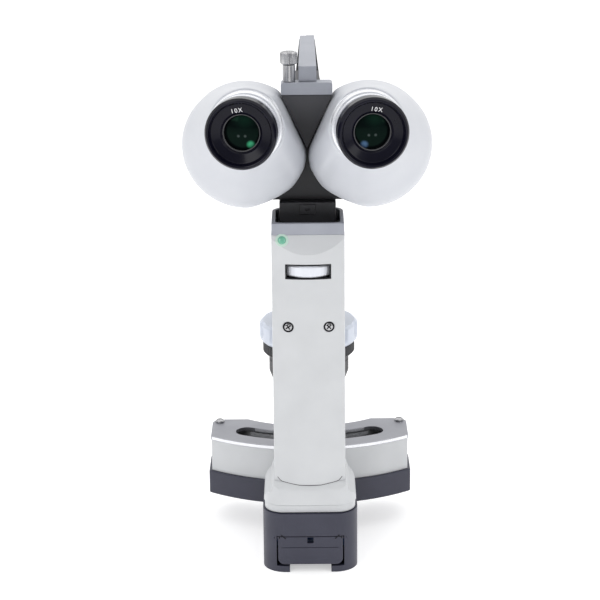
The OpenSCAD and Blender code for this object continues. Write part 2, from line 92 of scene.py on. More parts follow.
def make_light():
    world = bpy.data.worlds.new("studio")
    bpy.context.scene.world = world
    world.use_nodes = True
    tree = world.node_tree
    back = tree.nodes["Background"]
    back.inputs["Color"].default_value = (1.0, 1.0, 1.0, 1)
    coords = tree.nodes.new("ShaderNodeTexCoord")
    split = tree.nodes.new("ShaderNodeSeparateXYZ")
    level = tree.nodes.new("ShaderNodeMapRange")
    level.inputs["From Min"].default_value = -0.75
    level.inputs["From Max"].default_value = 0.25
    level.inputs["To Min"].default_value = FRONT_SKY
    level.inputs["To Max"].default_value = BACK_SKY
    tree.links.new(coords.outputs["Generated"], split.inputs["Vector"])
    tree.links.new(split.outputs["Y"], level.inputs["Value"])
    tree.links.new(level.outputs["Result"], back.inputs["Strength"])
    area_light("key_left", (-0.60, -0.85, 0.75), (0.5, 0.7), 3.3)
    area_light("key_right", (0.75, -0.70, 0.60), (0.4, 0.6), 2.0)
    area_light("overhead", (0.0, 0.05, 1.25), (1.6, 1.6), 4.6)
    bpy.context.scene.view_settings.view_transform = "Standard"


def make_floor():
    mesh = bpy.data.meshes.new("floor")
    half = 4.0
    mesh.from_pydata(
        [(-half, -half, 0), (half, -half, 0), (half, half, 0), (-half, half, 0)], [], [(0, 1, 2, 3)]
    )
    floor = bpy.data.objects.new("floor", mesh)
    bpy.context.scene.collection.objects.link(floor)
    mat = bpy.data.materials.new("floor_white")
    mat.use_nodes = True
    shader = mat.node_tree.nodes["Principled BSDF"]
    shader.inputs["Base Color"].default_value = (0.80, 0.80, 0.805, 1)
    shader.inputs["Roughness"].default_value = 0.9
    shader.inputs["Emission Color"].default_value = (1, 1, 1, 1)
    shader.inputs["Emission Strength"].default_value = 0.45
    mesh.materials.append(mat)


# ---------- materials ----------


def plastic(name, dark, light, rough, grain_mm, grain, coat=0.0, metal=0.0, streak=None, spec=0.5):
    """Procedural surface: slow colour drift, fine grain in roughness and bump, optional brushing."""
    mat = bpy.data.materials.new(name)
    mat.use_nodes = True
    tree = mat.node_tree
    nodes, links = tree.nodes, tree.links
    shader = nodes["Principled BSDF"]
    coords = nodes.new("ShaderNodeTexCoord")
    mapping = nodes.new("ShaderNodeMapping")
    mapping.inputs["Scale"].default_value = streak or (1, 1, 1)
    links.new(coords.outputs["Object"], mapping.inputs["Vector"])

    drift = nodes.new("ShaderNodeTexNoise")
    drift.inputs["Scale"].default_value = 60
    drift.inputs["Detail"].default_value = 3
    links.new(mapping.outputs["Vector"], drift.inputs["Vector"])
    ramp = nodes.new("ShaderNodeValToRGB")
    ramp.color_ramp.elements[0].position = 0.30
    ramp.color_ramp.elements[1].position = 0.70
    ramp.color_ramp.elements[0].color = (*dark, 1)
    ramp.color_ramp.elements[1].color = (*light, 1)
    links.new(drift.outputs["Fac"], ramp.inputs["Fac"])
    links.new(ramp.outputs["Color"], shader.inputs["Base Color"])

    fine = nodes.new("ShaderNodeTexNoise")
    fine.inputs["Scale"].default_value = 1000 / grain_mm
    fine.inputs["Detail"].default_value = 4
    links.new(mapping.outputs["Vector"], fine.inputs["Vector"])
    level = nodes.new("ShaderNodeMapRange")
    level.inputs["To Min"].default_value = rough - 0.07
    level.inputs["To Max"].default_value = rough + 0.07
    links.new(fine.outputs["Fac"], level.inputs["Value"])
    links.new(level.outputs["Result"], shader.inputs["Roughness"])

    bump = nodes.new("ShaderNodeBump")
    bump.inputs["Strength"].default_value = grain
    bump.inputs["Distance"].default_value = 0.00005
    links.new(fine.outputs["Fac"], bump.inputs["Height"])
    links.new(bump.outputs["Normal"], shader.inputs["Normal"])

    shader.inputs["Metallic"].default_value = metal
    shader.inputs["Coat Weight"].default_value = coat
    shader.inputs["Coat Roughness"].default_value = 0.12
    shader.inputs["Specular IOR Level"].default_value = spec
    return mat


def paint_light_near(mat, distance_to, span, colour):
    """Paints light into the base colour of a material near a point, blending it towards another colour, in
    object metres.
    """
    tree = mat.node_tree
    shader = tree.nodes["Principled BSDF"]
    old = shader.inputs["Base Color"].links[0].from_socket
    coords = tree.nodes.new("ShaderNodeTexCoord")
    gap = tree.nodes.new("ShaderNodeVectorMath")
    gap.operation = "DISTANCE"
    gap.inputs[1].default_value = distance_to
    near = tree.nodes.new("ShaderNodeMapRange")
    near.interpolation_type = "SMOOTHSTEP"
    near.inputs["From Min"].default_value = span[0]
    near.inputs["From Max"].default_value = span[1]
    near.inputs["To Min"].default_value = 1.0
    near.inputs["To Max"].default_value = 0.0
    mix = tree.nodes.new("ShaderNodeMix")
    mix.data_type = "RGBA"
    tree.links.new(coords.outputs["Object"], gap.inputs[0])
    tree.links.new(gap.outputs["Value"], near.inputs["Value"])
    tree.links.new(near.outputs["Result"], mix.inputs["Factor"])
    for socket in mix.inputs:
        if socket.type == "RGBA" and socket.name == "A":
            tree.links.new(old, socket)
    for socket in mix.inputs:
        if socket.type == "RGBA" and socket.name == "B":
            socket.default_value = (*colour, 1)
    result = [o for o in mix.outputs if o.type == "RGBA"][0]
    tree.links.new(result, shader.inputs["Base Color"])


def clear_glass(name, tint, rough=0.02):
    mat = bpy.data.materials.new(name)
    mat.use_nodes = True
    tree = mat.node_tree
    shader = tree.nodes["Principled BSDF"]
    noise = tree.nodes.new("ShaderNodeTexNoise")
    noise.inputs["Scale"].default_value = 90
    ramp = tree.nodes.new("ShaderNodeValToRGB")
    ramp.color_ramp.elements[0].color = (*tint, 1)
    ramp.color_ramp.elements[1].color = (*[min(1, c * 1.1) for c in tint], 1)
    tree.links.new(noise.outputs["Fac"], ramp.inputs["Fac"])
    tree.links.new(ramp.outputs["Color"], shader.inputs["Base Color"])
    shader.inputs["Roughness"].default_value = rough
    shader.inputs["IOR"].default_value = 1.5
    shader.inputs["Transmission Weight"].default_value = 0.9
    shader.inputs["Coat Weight"].default_value = 0.6
    shader.inputs["Coat Tint"].default_value = (0.35, 0.95, 0.60, 1)
    return mat


def make_materials():
    made = {}
    made["white_plastic"] = plastic(
        "white_plastic", (0.545, 0.557, 0.572), (0.585, 0.597, 0.612), 0.38, 0.35, 0.25)
    made["cover_plastic"] = plastic(
        "cover_plastic", (0.525, 0.540, 0.580), (0.555, 0.570, 0.605), 0.36, 0.5, 0.12, coat=0.10)
    made["slate_plastic"] = plastic(
        "slate_plastic", (0.024, 0.025, 0.045), (0.032, 0.033, 0.056), 0.44, 0.3, 0.5)
    made["black_body"] = plastic(
        "black_body", (0.014, 0.014, 0.017), (0.022, 0.022, 0.026), 0.50, 0.25, 0.45)
    # darker copy of black_body for the scope body: painted shade, with a painted lighter top blended in
    # further down
    made["wedge_black_painted_light"] = plastic(
        "wedge_black_painted_light", (0.010, 0.010, 0.013), (0.016, 0.016, 0.020), 0.50, 0.25, 0.45)
    made["black_plastic"] = plastic(
        "black_plastic", (0.006, 0.006, 0.009), (0.010, 0.010, 0.014), 0.46, 0.3, 0.3, spec=0.2)
    made["gloss_black"] = plastic(
        "gloss_black", (0.003, 0.003, 0.008), (0.005, 0.005, 0.012), 0.20, 0.4, 0.06, coat=0.12, spec=0.12)
    made["plate_metal"] = plastic(
        "plate_metal", (0.29, 0.295, 0.325), (0.34, 0.345, 0.375), 0.40, 0.25, 0.35, metal=0.75)
    made["bar_metal"] = plastic(
        "bar_metal", (0.31, 0.325, 0.37), (0.36, 0.375, 0.42), 0.44, 0.22, 0.5, metal=0.35)
    made["bright_metal"] = plastic(
        "bright_metal", (0.78, 0.79, 0.82), (0.86, 0.87, 0.90), 0.26, 0.2, 0.2, metal=0.6,
        streak=(1, 14, 1))
    made["chrome"] = plastic(
        "chrome", (0.34, 0.34, 0.35), (0.46, 0.46, 0.47), 0.20, 0.3, 0.1, metal=1.0)
    made["turned_steel"] = plastic(
        "turned_steel", (0.22, 0.22, 0.23), (0.58, 0.58, 0.59), 0.22, 0.3, 0.1, metal=1.0,
        streak=(22, 22, 0.3))
    made["ring_grey"] = plastic(
        "ring_grey", (0.30, 0.31, 0.36), (0.38, 0.39, 0.44), 0.36, 0.25, 0.3, metal=0.4)
    made["knob_white"] = plastic(
        "knob_white", (0.55, 0.59, 0.68), (0.60, 0.64, 0.72), 0.36, 0.4, 0.2)
    made["rubber"] = plastic(
        "rubber", (0.012, 0.012, 0.014), (0.022, 0.022, 0.024), 0.75, 0.25, 0.7)
    made["glass"] = clear_glass("glass", (0.80, 0.93, 0.88))
    made["mirror"] = plastic(
        "mirror", (0.92, 0.92, 0.93), (0.95, 0.95, 0.96), 0.08, 1.0, 0.02, metal=1.0)
    made["green_led"] = plastic(
        "green_led", (0.11, 0.36, 0.25), (0.16, 0.46, 0.32), 0.22, 0.6, 0.1, coat=0.6)
    made["pcb"] = plastic("pcb", (0.01, 0.09, 0.04), (0.02, 0.13, 0.06), 0.40, 0.5, 0.3)
    made["cell_wrap"] = plastic("cell_wrap", (0.03, 0.09, 0.28), (0.05, 0.13, 0.35), 0.3, 0.6, 0.1)
    made["led_emitter"] = plastic(
        "led_emitter", (0.55, 0.50, 0.25), (0.70, 0.62, 0.30), 0.4, 0.4, 0.2)
    made["coated_lens"] = plastic(
        "coated_lens", (0.002, 0.003, 0.004), (0.003, 0.005, 0.005), 0.09, 1.2, 0.0, coat=0.0, spec=0.06)
    lens = made["coated_lens"].node_tree.nodes["Principled BSDF"]
    lens.inputs["Specular Tint"].default_value = (0.35, 1.0, 0.62, 1)
    # dark grey: the lens seat's own colour, and painted shadow on the seam bead under the front panel
    made["seam_dark"] = plastic(
        "seam_dark", (0.05, 0.05, 0.055), (0.07, 0.07, 0.075), 0.6, 0.3, 0.1)
    made["white_paint"] = plastic(
        "white_paint", (0.80, 0.80, 0.82), (0.88, 0.88, 0.90), 0.5, 0.3, 0.1)
    made["wheel_metal"] = plastic(
        "wheel_metal", (0.66, 0.68, 0.74), (0.76, 0.78, 0.83), 0.32, 0.2, 0.2, metal=0.35)
    made["mint_ring"] = plastic(
        "mint_ring", (0.46, 0.62, 0.54), (0.54, 0.70, 0.61), 0.35, 0.4, 0.1)
    made["nylon"] = plastic("nylon", (0.74, 0.74, 0.72), (0.80, 0.80, 0.78), 0.5, 0.4, 0.2)
    return made


MATERIALS = make_materials()
BODY_OF = {n: b for b, ns in frame["record"]["behaviour"]["bodies"].items() for n in ns}
SLOT_OF = {s["node"]: s["material_slot"] for s in frame["record"]["subparts"]}


def dress_cad():
    """Gives every CAD node the procedural material of its slot."""
    for name, obj in frame["nodes"].items():
        obj.data.materials.clear()
        obj.data.materials.append(MATERIALS[SLOT_OF[name]])


# ---------- mesh helpers ----------


def piece_from(bm, name, slot, body, stands_for=(), crease=32):
    """Closes a bmesh as a named object with a material, riding on its body."""
    bmesh.ops.recalc_face_normals(bm, faces=bm.faces)
    mesh = bpy.data.meshes.new(name)
    bm.to_mesh(mesh)
    bm.free()
    mesh.shade_smooth()
    mesh.set_sharp_from_angle(angle=math.radians(crease))
    mesh.materials.append(MATERIALS[slot])
    obj = bpy.data.objects.new(name, mesh)
    bpy.context.scene.collection.objects.link(obj)
    normals = obj.modifiers.new("normals", "WEIGHTED_NORMAL")
    normals.keep_sharp = True
    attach(obj, body)
    if stands_for:
        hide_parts(*stands_for)
    return obj


def rounded(points, steps=5):
    """A profile from (r, t, fillet) corners: each corner with a fillet becomes an arc."""
    out = []
    count = len(points)
    for i, (r, t, fillet) in enumerate(points):
        here = Vector((r, t))
        if fillet <= 0:
            out.append(here)
            continue
        before = Vector(points[i - 1][:2]) - here
        after = Vector(points[(i + 1) % count][:2]) - here
        half = before.angle(after) / 2
        reach = min(fillet / math.tan(half), before.length * 0.49, after.length * 0.49)
        start, end = here + before.normalized() * reach, here + after.normalized() * reach
        for k in range(steps + 1):
            f = k / steps
            out.append(start * (1 - f) ** 2 + here * 2 * f * (1 - f) + end * f * f)
    return out


def lathe(name, profile, place, slot, body, stands_for=(), segments=128, wave=None, crease=32):
    """A closed profile of (r, t) in mm turned about the local z axis of place, a 4x4 matrix.
    wave(angle, r, t) may change the radius, for knurls and lobes."""
    bm = bmesh.new()
    rings = []
    for r, t in profile:
        if r < 1e-6:
            rings.append([bm.verts.new(place @ Vector((0, 0, t * MM)))])
            continue
        ring = []
        for k in range(segments):
            a = 2 * math.pi * k / segments
            rr = wave(a, r, t) if wave else r
            ring.append(bm.verts.new(place @ Vector((rr * math.cos(a) * MM, rr * math.sin(a) * MM, t * MM))))
        rings.append(ring)
    for i, ring in enumerate(rings):
        other = rings[(i + 1) % len(rings)]
        if len(ring) == 1 and len(other) == 1:
            continue
        for k in range(segments):
            n = (k + 1) % segments
            if len(ring) == 1:
                bm.faces.new((ring[0], other[k], other[n]))
            elif len(other) == 1:
                bm.faces.new((ring[k], other[0], ring[n]))
            else:
                bm.faces.new((ring[k], other[k], other[n], ring[n]))
    return piece_from(bm, name, slot, body, stands_for, crease)


def loft(name, rings, slot, body, stands_for=(), closed=False, crease=32):
    """Skins rings of equal length; closed joins the last ring to the first, else both are capped."""
    bm = bmesh.new()
    made = [[bm.verts.new(Vector(p) * MM) for p in ring] for ring in rings]
    count = len(rings[0])
    pairs = list(zip(made, made[1:]))
    if closed:
        pairs.append((made[-1], made[0]))
    for one, two in pairs:
        for k in range(count):
            n = (k + 1) % count
            bm.faces.new((one[k], two[k], two[n], one[n]))
    if not closed:
        bm.faces.new(made[0])
        bm.faces.new(made[-1])
    return piece_from(bm, name, slot, body, stands_for, crease)


def soften(node, width, steps=3, limit=14):
    """The node's own solid with its sharp edges rounded, shown instead of the node."""
    bm = bmesh.new()
    bm.from_mesh(frame["nodes"][node].data)
    bmesh.ops.remove_doubles(bm, verts=bm.verts, dist=2e-6)
    bmesh.ops.dissolve_limit(
        bm, angle_limit=math.radians(0.4), verts=bm.verts, edges=bm.edges, use_dissolve_boundaries=False)
    sharp = [e for e in bm.edges if len(e.link_faces) == 2 and e.calc_face_angle(0) > math.radians(limit)]
    bmesh.ops.bevel(
        bm, geom=sharp, offset=width * MM, offset_type="OFFSET", segments=steps, profile=0.5,
        affect="EDGES", clamp_overlap=True)
    return piece_from(bm, node + "_soft", SLOT_OF[node], BODY_OF[node], (node,))


JOINTS = {j["name"]: j for j in frame["record"]["behaviour"]["joints"]}
UP = Vector((0, 0, 1))
SIDES = {"left": -1, "right": 1}


def axis_place(spot, direction):
    """A frame whose z axis runs along direction, with x level and y as near to up as it can be."""
    z = Vector(direction).normalized()
    x = UP.cross(z)
    x = x.normalized() if x.length > 1e-6 else Vector((1, 0, 0))
    y = z.cross(x)
    return Matrix.Translation(Vector(spot)) @ Matrix((x, y, z)).transposed().to_4x4()


def reach(node, place):
    """Largest radius about the local z axis, and lowest and highest z, of a CAD node, in mm."""
    back = place.inverted()
    spots = [back @ v.co for v in frame["nodes"][node].data.vertices]
    radius = max(math.hypot(p.x, p.y) for p in spots)
    return radius / MM, min(p.z for p in spots) / MM, max(p.z for p in spots) / MM


def soft_min(a, b, blend):
    """The smaller of two numbers, rounded off where they are within blend of each other."""
    h = max(blend - abs(a - b), 0) / blend
    return min(a, b) - h * h * blend / 4


def ribs(count, depth, low, high):
    """Wave for lathe(): fine ridges between two heights."""
    def wave(a, r, t):
        return r - depth * (0.5 + 0.5 * math.cos(count * a)) if low < t < high else r
    return wave


# ---------- turret covers ----------

# in the turret's own frame, x outwards, y to the patient, z up, in mm
RIM_AT, RIM_R, RIM_DEPTH = Vector((14.0, 6.3)), 29.0, 14.3
COLLAR_R, COLLAR_Y = 17.0, -43.5
COVER_WALL = 2.0
WAIST = (1.85, 208.2, 24.7)
LOWER_FLAT = (26.0, 27.4)


def turret_frame(side):
    """The turret's axes as a matrix; the left one is the mirror image of the right."""
    hinge = JOINTS["pd_" + side]
    y = Vector(hinge["axis"]).normalized()
    y = y if y.y > 0 else -y
    x = y.cross(UP) * SIDES[side]
    return Matrix.Translation(Vector(hinge["pos_m"])) @ Matrix((x, y, UP)).transposed().to_4x4()


def cover_planes(side, place):
    """The three flats of a cover as (normal, distance) in the turret's frame, in mm."""
    sign = SIDES[side]
    turn = place.to_3x3().transposed()
    waist_x, waist_z, slope = WAIST
    slope = math.radians(slope)
    planes = []
    for normal, spot in (
        (Vector((-sign * math.cos(slope), 0, math.sin(slope))), Vector((sign * waist_x, 0, waist_z))),
        (Vector((-sign, 0, 0)), Vector((sign * 0.35, 0, 0))),
    ):
        local = turn @ normal
        planes.append((local, local.dot(turn @ (spot - place.translation / MM))))
    tilt, off = math.radians(LOWER_FLAT[0]), LOWER_FLAT[1]
    low = Vector((-math.sin(tilt), 0, -math.cos(tilt)))
    planes.append((low, low.x * RIM_AT.x + low.z * RIM_AT.y + off))
    return planes


def cover(side):
    """Skew cone from the round rim to the eyepiece collar, blended softly, with its flats."""
    place = turret_frame(side)
    planes = cover_planes(side, place)
    eye = place.inverted() @ Vector(JOINTS["diopter_" + side]["pos_m"]) / MM
    eye_at = Vector((eye.x, eye.z))
    start = 0.5 - RIM_DEPTH
    length = start - COLLAR_Y
    soft = 7.0

    def ring(y, inset, blend=1.6):
        t = start - y
        f = 0 if t < -soft else t if t > soft else (t + soft) ** 2 / (4 * soft)
        f = max(0.0, min(1.0, f / length))
        mid = RIM_AT.lerp(eye_at, f)
        radius = RIM_R + (COLLAR_R - RIM_R) * f - inset
        out = []
        for k in range(192):
            a = 2 * math.pi * k / 192
            ux, uz = math.cos(a), math.sin(a)
            r = radius
            for normal, distance in planes:
                facing = normal.x * ux + normal.z * uz
                if facing > 0.05:
                    left = distance - inset - normal.x * mid.x - normal.y * y - normal.z * mid.y
                    r = soft_min(r, left / facing, blend)
            out.append((place @ (Vector((mid.x + r * ux, y, mid.y + r * uz)) * MM)) / MM)
        return out

    rings = [ring(0.5, 0.5), ring(0.40, 0.22), ring(0.15, 0.05)]
    rings += [ring(0.0 - 42.6 * k / 44, 0) for k in range(45)]
    rings += [ring(-43.0, 0.06), ring(-43.3, 0.22), ring(COLLAR_Y, 0.55)]
    rings += [ring(COLLAR_Y + (0.5 - COLLAR_Y) * k / 12, COVER_WALL) for k in range(13)]
    loft("cover_shell_" + side, rings, "cover_plastic", "turret_" + side, ("cover_" + side,), True, 40)


# ---------- eyepieces ----------


def eyepiece(side):
    """Silver collar ring, knurled setting ring, eyecup, coated lens with reflections painted into its
    colour, and its magnification mark.
    """
    hinge = JOINTS["diopter_" + side]
    place = axis_place(hinge["pos_m"], hinge["axis"])
    ocular = "ocular_" + side

    r, low, high = reach("eye_tube_" + side, place)
    seat = high - 7.5
    face = high - 2.8
    lathe("collar_ring_" + side, rounded([
        (12.5, low, 0), (13.6, low, 0), (13.6, seat, 0), (r - 0.25, seat, 0.1), (r, seat + 0.3, 0.1),
        (r, seat + 1.0, 0.05), (r - 0.22, seat + 1.12, 0.05), (r - 0.22, seat + 1.4, 0.05),
        (r, seat + 1.52, 0.05), (r, face - 0.7, 0.3), (r - 0.6, face, 0.25), (13.8, face, 0),
        (13.8, high, 0), (12.5, high, 0)]), place, "bright_metal", "turret_" + side,
        ("eye_tube_" + side,), 160)

    r, low, high = reach("diopter_ring_" + side, place)
    bore = 10.95
    knurl = low + 2.9
    lathe("setting_sleeve_" + side, rounded([
        (14.0, low, 0), (r - 0.2, low, 0.2), (r, low + 0.4, 0.2), (r, knurl - 0.4, 0.2),
        (r - 0.3, knurl, 0.1), (14.0, knurl, 0)]), place, "bright_metal", ocular, (), 160)
    lathe("setting_ring_" + side, rounded([
        (14.2, low, 0), (14.2, knurl, 0), (r - 0.3, knurl, 0.1), (r, knurl + 0.3, 0.1),
        (r, knurl + 0.5, 0), (r, knurl + 0.55, 0), (r, high - 1.35, 0), (r, high - 1.3, 0),
        (r - 0.05, high - 0.4, 0.1),
        (r - 0.4, high, 0.1), (bore, high, 0), (bore, high - 2.9, 0), (14.2, high - 2.9, 0)]),
        place, "ring_grey", ocular, ("diopter_ring_" + side,), 480,
        ribs(80, 0.28, knurl + 0.52, high - 1.32), 50)

    r, low, high = reach("eyecup_" + side, place)
    lathe("eyecup_shell_" + side, rounded([
        (8.3, low + 1.7, 0), (bore, low + 1.7, 0), (bore, low, 0), (r - 0.35, low, 0.2),
        (r, low + 0.4, 0.2), (r, high - 1.5, 0.6), (r - 1.0, high, 0.7), (r - 1.75, high - 0.25, 0.3),
        (r - 2.6, high - 2.5, 0.7), (9.2, high - 3.75, 0.4), (8.7, high - 4.3, 0.2),
        (8.3, high - 4.6, 0.15)], 7), place, "gloss_black", ocular, ("eyecup_" + side,), 192)
    lathe("lens_seat_" + side, rounded([
        (7.7, high - 5.0, 0.1), (8.25, high - 5.0, 0), (8.25, high - 4.15, 0.15),
        (7.9, high - 4.25, 0.15)]), place, "seam_dark", ocular, (), 128)

    apex, edge = high - 5.0, 8.2
    sag = [(edge * k / 14, apex - 1.35 * (k / 14) ** 2) for k in range(15)]
    lathe("eye_lens_" + side, sag + [(edge, apex - 3.0), (0, apex - 3.0)], place, "coated_lens",
          ocular, ("ocular_lenses_" + side,), 96)

    power_mark(side, place, ocular, high)
    # reflections painted into the lens colour: green at the top, a bright patch and two dots
    painted_lens_reflections(side, place, high)


def power_mark(side, place, ocular, face):
    """The magnification, printed on the dished face of the eyecup and bent to it."""
    turn = math.radians({"left": 10.0, "right": -9.0}[side])
    text = bpy.data.curves.new("mark_" + side, "FONT")
    text.body, text.size, text.extrude = "10X", 2.8 * MM, 0.03 * MM
    text.align_x, text.align_y, text.space_character = "CENTER", "CENTER", 1.3
    holder = bpy.data.objects.new("mark_holder_" + side, text)
    bpy.context.scene.collection.objects.link(holder)
    mesh = bpy.data.meshes.new_from_object(holder.evaluated_get(bpy.context.evaluated_depsgraph_get()))
    bpy.data.objects.remove(holder)
    bm = bmesh.new()
    bm.from_mesh(mesh)
    spin = Matrix.Rotation(turn, 4, "Z")
    for vert in bm.verts:
        spot = spin @ Vector((vert.co.x * 0.92, vert.co.y + 10.1 * MM, 0))
        radius = math.hypot(spot.x, spot.y) / MM
        height = face - 2.5 - 1.25 * (13.1 - radius) / 3.9 + 0.22
        vert.co = Vector((spot.x, spot.y, height * MM + vert.co.z))
    bm.transform(place)
    piece_from(bm, "power_mark_" + side, "white_paint", ocular)


def painted_lens_reflections(side, place, face):
    """Painted reflections in the lens colour, fixed in place: a green sheen at the top, a bright patch low
    down and two faint dots.
    """
    # copy of the lens material with reflections painted into its colour
    mat = MATERIALS["coated_lens"].copy()
    mat.name = "lens_painted_reflections_" + side
    top = place @ Vector((1.5 * MM, 7.0 * MM, (face - 5.0) * MM))
    paint_light_near(mat, top, (0.0, 7.0 * MM), (0.005, 0.018, 0.012))
    patch, colour = {
        "left": ((3.8, -5.3), (0.05, 0.34, 0.17)), "right": ((-3.4, -5.7), (0.07, 0.13, 0.24))}[side]
    low = place @ Vector((patch[0] * MM, patch[1] * MM, (face - 5.7) * MM))
    paint_light_near(mat, low, (0.6 * MM, 2.3 * MM), colour)
    for x in (-1.5, 1.5):
        dot = place @ Vector((x * MM, -1.5 * MM, (face - 5.0) * MM))
        paint_light_near(mat, dot, (0.2 * MM, 0.9 * MM), (0.05, 0.06, 0.06))
    bpy.data.objects["eye_lens_" + side].data.materials[0] = mat


# ---------- grip details ----------


def brightness_wheel():
    hinge = JOINTS["dimmer_turn"]
    place = axis_place(hinge["pos_m"], hinge["axis"])
    r, low, high = reach("brightness_wheel", place)
    lathe("wheel_knurled", rounded([
        (3.05, low, 0), (r - 0.7, low, 0.3), (r, low + 0.7, 0.3), (r, high - 0.7, 0.3),
        (r - 0.7, high, 0.3), (3.05, high, 0)]), place, "wheel_metal", "dimmer_wheel",
        ("brightness_wheel",), 480, ribs(120, 0.16, low + 0.4, high - 0.4), 60)


def panel_screw_heads():
    """Pan heads, each in a black ring that is painted shadow for its recess gap, with a black cross that is
    painted shade for its cross slot.
    """
    low, high = (Vector(c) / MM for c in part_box("panel_screws"))
    r = (high.z - low.z) / 2
    for side, sign in SIDES.items():
        spot = Vector((sign * (high.x - r), low.y, (low.z + high.z) / 2))
        place = axis_place(spot * MM, (0, -1, 0))
        # black ring round the head: painted shadow in the recess gap
        lathe("screw_recess_shade_" + side, rounded([
            (r - 0.5, -0.6, 0), (r + 0.2, -0.6, 0), (r + 0.2, 0.02, 0.1), (r - 0.5, 0.05, 0.1)]),
            place, "black_plastic", "grip", (), 64)
        dome = [(0, 0.32), (0.8, 0.30), (1.4, 0.22), (r - 0.6, 0.05), (r - 0.55, -0.6), (0, -0.6)]
        stands = ("panel_screws",) if side == "left" else ()
        lathe("screw_head_" + side, dome, place, "chrome", "grip", stands, 64)
        # black cross laid on the dome: painted shade in the cross slot
        bm = bmesh.new()
        for turn in (38, 128):
            made = bmesh.ops.create_cube(bm, size=1.0)["verts"]
            size = Matrix.Diagonal(Vector((2.7 * MM, 0.62 * MM, 0.3 * MM, 1)))
            spin = Matrix.Rotation(math.radians(turn + 7 * sign), 4, "Z")
            lift = Matrix.Translation(Vector((0, 0, 0.19 * MM)))
            bmesh.ops.transform(bm, matrix=place @ lift @ spin @ size, verts=made)
        piece_from(bm, "screw_cross_shade_" + side, "black_plastic", "grip")


def tube(name, path, radius, slot, body, sides=10):
    """A round bead along a list of points in mm."""
    rings = []
    for i, spot in enumerate(path):
        ahead = path[min(i + 1, len(path) - 1)] - path[max(i - 1, 0)]
        x = Vector((0, -1, 0)).cross(ahead).normalized()
        y = ahead.normalized().cross(x)
        rings.append([spot + (x * math.cos(a) + y * math.sin(a)) * radius
                      for a in (2 * math.pi * k / sides for k in range(sides))])
    loft(name, rings, slot, body)


def panel_seam():
    """Dark bead where the front panel meets the foot, turning up at both corners: painted shadow for the gap
    between them.
    """
    bow, front = 45.0, 20.0
    path = []
    for k in range(49):
        x = -15.4 + 30.8 * k / 48
        y = bow - front - math.sqrt(bow ** 2 - x ** 2)
        z = 41.0 + math.sqrt(25.0 - (-15.8 - y) ** 2)
        corner = max(0.0, abs(x) - 12.4) ** 2 / 4.0
        path.append(Vector((x, y - 0.02, max(44.1, min(z, 45.4)) + corner)))
    # the bead is painted shadow in the gap under the front panel
    tube("panel_seam_shadow_bead", path, 0.15, "seam_dark", "grip")


def pilot_light():
    """Green dome in a pale ring, square to the sloping visor."""
    low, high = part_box("pilot_led")
    slope = Vector((0, -2.2, 1.0)).normalized()
    place = axis_place((Vector(low) + Vector(high)) / 2, slope)
    r, bottom, top = reach("pilot_led", place)
    turns = [k * math.pi / 16 for k in range(9)]
    dome = [(r * math.sin(a), top - 0.75 + 0.75 * math.cos(a)) for a in turns]
    lathe("pilot_dome", dome + [(r, bottom), (0, bottom)], place, "green_led", "grip", ("pilot_led",), 64)
    face = top - 0.78
    lathe("pilot_ring", rounded([
        (r, face - 0.5, 0), (r + 1.1, face - 0.5, 0), (r + 1.1, face + 0.02, 0.15),
        (r, face + 0.14, 0.1)]), place, "mint_ring", "grip", (), 64)


def thumb_screw():
    hinge = JOINTS["clamp_turn"]
    place = axis_place(hinge["pos_m"], hinge["axis"])
    r, low, high = reach("thumb_screw", place)
    neck = high - 5.5
    lathe("thumb_screw_turned", rounded([
        (0, low, 0), (1.5, low, 0.2), (1.5, 0.0, 0), (2.85, 0.0, 0.2), (2.85, neck - 0.5, 0.1),
        (2.45, neck - 0.3, 0.1), (2.45, neck, 0), (r - 0.4, neck, 0.2), (r, neck + 0.4, 0.1),
        (r, high - 0.55, 0.15), (r - 0.5, high, 0.2), (r - 1.3, high, 0.1), (r - 1.7, high - 0.5, 0.2),
        (0, high - 0.6, 0)]), place, "turned_steel", "clamp_screw", ("thumb_screw",), 240,
        ribs(40, 0.22, neck + 0.45, high - 0.6), 50)


# ---------- illumination column ----------


def scallops(r, count, hollow_at, hollow_r, low, high):
    """Wave for lathe(): rounded hollows round a knob, fading in from low and out at high."""
    def wave(a, radius, t):
        if radius < r - 4 or t < low:
            return radius
        off = (a % (2 * math.pi / count)) - math.pi / count
        side = hollow_at * math.sin(off)
        if abs(side) >= hollow_r:
            return radius
        inner = hollow_at * math.cos(off) - math.sqrt(hollow_r ** 2 - side ** 2)
        fade = min(1.0, (t - low) / (high - low))
        return radius * (1 - fade) + soft_min(radius, inner, 1.0) * fade
    return wave


